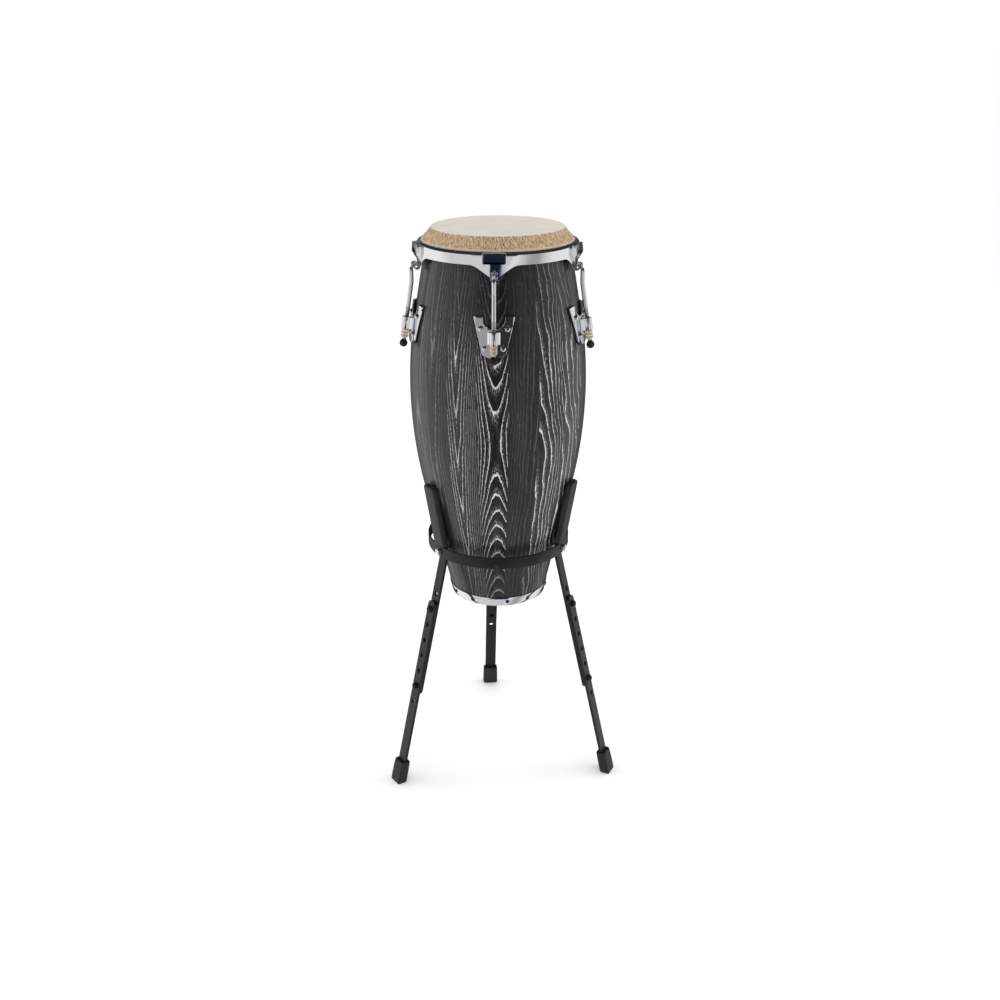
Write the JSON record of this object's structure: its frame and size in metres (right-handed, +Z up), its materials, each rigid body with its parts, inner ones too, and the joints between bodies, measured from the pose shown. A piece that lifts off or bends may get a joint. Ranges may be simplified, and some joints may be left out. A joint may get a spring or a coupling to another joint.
{
  "type": "conga drum on a basket stand",
  "caption": "Tall barrel-bellied hand drum with a flat skin head and a screw-tuned metal rim, seated upright in a ring stand with sliding bar legs.",
  "frame": {"origin": "on the drum's axis, at the level of the floor under the rubber feet", "axes": "+Z up along the drum's axis towards the head; -Y towards the front lug, which faces the viewer"},
  "size_m": [0.4914, 0.478, 1.177],
  "materials": {
    "stained_oak": "satin black stain with pale filled open grain",
    "chrome_hardware": "polished",
    "drum_skin": "matt rawhide, paler on top, mottled fibrous collar",
    "nickel_nuts": "turned, warm nickel",
    "plain_steel": "zinc plated",
    "black_rubber": "matt",
    "pad_rubber": "satin",
    "foot_rubber": "matt",
    "black_stand_steel": "satin black powder coat",
    "black_knob": "semi gloss"
  },
  "bodies": {
    "stand": {"basket_ring": "black_stand_steel", "arm_1": "black_stand_steel", "arm_2": "black_stand_steel", "arm_3": "black_stand_steel", "arm_pad_1": "pad_rubber", "arm_pad_2": "pad_rubber", "arm_pad_3": "pad_rubber", "upper_leg_1": "black_stand_steel", "upper_leg_2": "black_stand_steel", "upper_leg_3": "black_stand_steel", "ring_bolts": "plain_steel", "ring_nuts": "plain_steel"},
    "drum": {"shell": "stained_oak", "bottom_ring": "chrome_hardware", "bottom_ring_screws": "chrome_hardware", "drum_head": "drum_skin", "flesh_hoop": "chrome_hardware", "side_plate_1": "chrome_hardware", "side_plate_2": "chrome_hardware", "side_plate_3": "chrome_hardware", "side_plate_4": "chrome_hardware", "side_plate_5": "chrome_hardware", "side_plate_gasket_1": "black_rubber", "side_plate_gasket_2": "black_rubber", "side_plate_gasket_3": "black_rubber", "side_plate_gasket_4": "black_rubber", "side_plate_gasket_5": "black_rubber", "backing_plates": "plain_steel", "side_plate_bolts": "chrome_hardware", "side_plate_nuts": "plain_steel", "tuning_washers": "plain_steel"},
    "counterhoop": {"counterhoop": "chrome_hardware"},
    "hook_1": {"tuning_hook_1": "chrome_hardware", "rod_cap_1": "black_rubber"},
    "nut_1": {"tuning_nut_1": "nickel_nuts"},
    "hook_2": {"tuning_hook_2": "chrome_hardware", "rod_cap_2": "black_rubber"},
    "nut_2": {"tuning_nut_2": "nickel_nuts"},
    "hook_3": {"tuning_hook_3": "chrome_hardware", "rod_cap_3": "black_rubber"},
    "nut_3": {"tuning_nut_3": "nickel_nuts"},
    "hook_4": {"tuning_hook_4": "chrome_hardware", "rod_cap_4": "black_rubber"},
    "nut_4": {"tuning_nut_4": "nickel_nuts"},
    "hook_5": {"tuning_hook_5": "chrome_hardware", "rod_cap_5": "black_rubber"},
    "nut_5": {"tuning_nut_5": "nickel_nuts"},
    "lower_leg_1": {"lower_leg_1": "black_stand_steel", "foot_1": "foot_rubber"},
    "knob_1_top": {"leg_knob_1_top": "black_knob"},
    "knob_1_low": {"leg_knob_1_low": "black_knob"},
    "lower_leg_2": {"lower_leg_2": "black_stand_steel", "foot_2": "foot_rubber"},
    "knob_2_top": {"leg_knob_2_top": "black_knob"},
    "knob_2_low": {"leg_knob_2_low": "black_knob"},
    "lower_leg_3": {"lower_leg_3": "black_stand_steel", "foot_3": "foot_rubber"},
    "knob_3_top": {"leg_knob_3_top": "black_knob"},
    "knob_3_low": {"leg_knob_3_low": "black_knob"}
  },
  "joints": [
    {"name": "drum_lift", "type": "slide", "parent": "stand", "child": "drum", "axis": [0, 0, 1], "range_m": [0, 0.3]},
    {"name": "hoop_loosen", "type": "slide", "parent": "drum", "child": "counterhoop", "axis": [0, 0, 1], "range_m": [0, 0.0032]},
    {"name": "hook_slide_1", "type": "slide", "parent": "drum", "child": "hook_1", "axis": [0, 0.1605, 0.987], "range_m": [0, 0.0033]},
    {"name": "nut_turn_1", "type": "hinge", "parent": "drum", "child": "nut_1", "pos_m": [0, -0.18805, 0.9875], "axis": [0, -0.1605, -0.987], "range_deg": [0, 940]},
    {"name": "hook_slide_2", "type": "slide", "parent": "drum", "child": "hook_2", "axis": [-0.1526, 0.0496, 0.987], "range_m": [0, 0.0033]},
    {"name": "nut_turn_2", "type": "hinge", "parent": "drum", "child": "nut_2", "pos_m": [0.17885, -0.05811, 0.9875], "axis": [0.1526, -0.0496, -0.987], "range_deg": [0, 940]},
    {"name": "hook_slide_3", "type": "slide", "parent": "drum", "child": "hook_3", "axis": [-0.0943, -0.1298, 0.987], "range_m": [0, 0.0033]},
    {"name": "nut_turn_3", "type": "hinge", "parent": "drum", "child": "nut_3", "pos_m": [0.11053, 0.15214, 0.9875], "axis": [0.0943, 0.1298, -0.987], "range_deg": [0, 940]},
    {"name": "hook_slide_4", "type": "slide", "parent": "drum", "child": "hook_4", "axis": [0.0943, -0.1298, 0.987], "range_m": [0, 0.0033]},
    {"name": "nut_turn_4", "type": "hinge", "parent": "drum", "child": "nut_4", "pos_m": [-0.11053, 0.15214, 0.9875], "axis": [-0.0943, 0.1298, -0.987], "range_deg": [0, 940]},
    {"name": "hook_slide_5", "type": "slide", "parent": "drum", "child": "hook_5", "axis": [0.1526, 0.0496, 0.987], "range_m": [0, 0.0033]},
    {"name": "nut_turn_5", "type": "hinge", "parent": "drum", "child": "nut_5", "pos_m": [-0.17885, -0.05811, 0.9875], "axis": [-0.1526, -0.0496, -0.987], "range_deg": [0, 940]},
    {"name": "leg_slide_1", "type": "slide", "parent": "stand", "child": "lower_leg_1", "axis": [-0.1871, -0.141, -0.9722], "range_m": [-0.0708, 0.1062]},
    {"name": "knob_pull_1_top", "type": "slide", "parent": "lower_leg_1", "child": "knob_1_top", "axis": [-0.7764, -0.5851, 0.2343], "range_m": [0, 0.02]},
    {"name": "knob_pull_1_low", "type": "slide", "parent": "lower_leg_1", "child": "knob_1_low", "axis": [-0.7764, -0.5851, 0.2343], "range_m": [0, 0.02]},
    {"name": "leg_slide_2", "type": "slide", "parent": "stand", "child": "lower_leg_2", "axis": [0.2157, -0.0915, -0.9722], "range_m": [-0.0708, 0.1062]},
    {"name": "knob_pull_2_top", "type": "slide", "parent": "lower_leg_2", "child": "knob_2_top", "axis": [0.8949, -0.3799, 0.2343], "range_m": [0, 0.02]},
    {"name": "knob_pull_2_low", "type": "slide", "parent": "lower_leg_2", "child": "knob_2_low", "axis": [0.8949, -0.3799, 0.2343], "range_m": [0, 0.02]},
    {"name": "leg_slide_3", "type": "slide", "parent": "stand", "child": "lower_leg_3", "axis": [-0.0286, 0.2325, -0.9722], "range_m": [-0.0708, 0.1062]},
    {"name": "knob_pull_3_top", "type": "slide", "parent": "lower_leg_3", "child": "knob_3_top", "axis": [-0.1185, 0.9649, 0.2343], "range_m": [0, 0.02]},
    {"name": "knob_pull_3_low", "type": "slide", "parent": "lower_leg_3", "child": "knob_3_low", "axis": [-0.1185, 0.9649, 0.2343], "range_m": [0, 0.02]}
  ],
  "couplings": [
    {"joint": "hook_slide_1", "follows": "hoop_loosen", "ratio": 1.0131},
    {"joint": "nut_turn_1", "follows": "hoop_loosen", "rad_per_m": 5092.4},
    {"joint": "hook_slide_2", "follows": "hoop_loosen", "ratio": 1.0131},
    {"joint": "nut_turn_2", "follows": "hoop_loosen", "rad_per_m": 5092.4},
    {"joint": "hook_slide_3", "follows": "hoop_loosen", "ratio": 1.0131},
    {"joint": "nut_turn_3", "follows": "hoop_loosen", "rad_per_m": 5092.4},
    {"joint": "hook_slide_4", "follows": "hoop_loosen", "ratio": 1.0131},
    {"joint": "nut_turn_4", "follows": "hoop_loosen", "rad_per_m": 5092.4},
    {"joint": "hook_slide_5", "follows": "hoop_loosen", "ratio": 1.0131},
    {"joint": "nut_turn_5", "follows": "hoop_loosen", "rad_per_m": 5092.4}
  ]
}
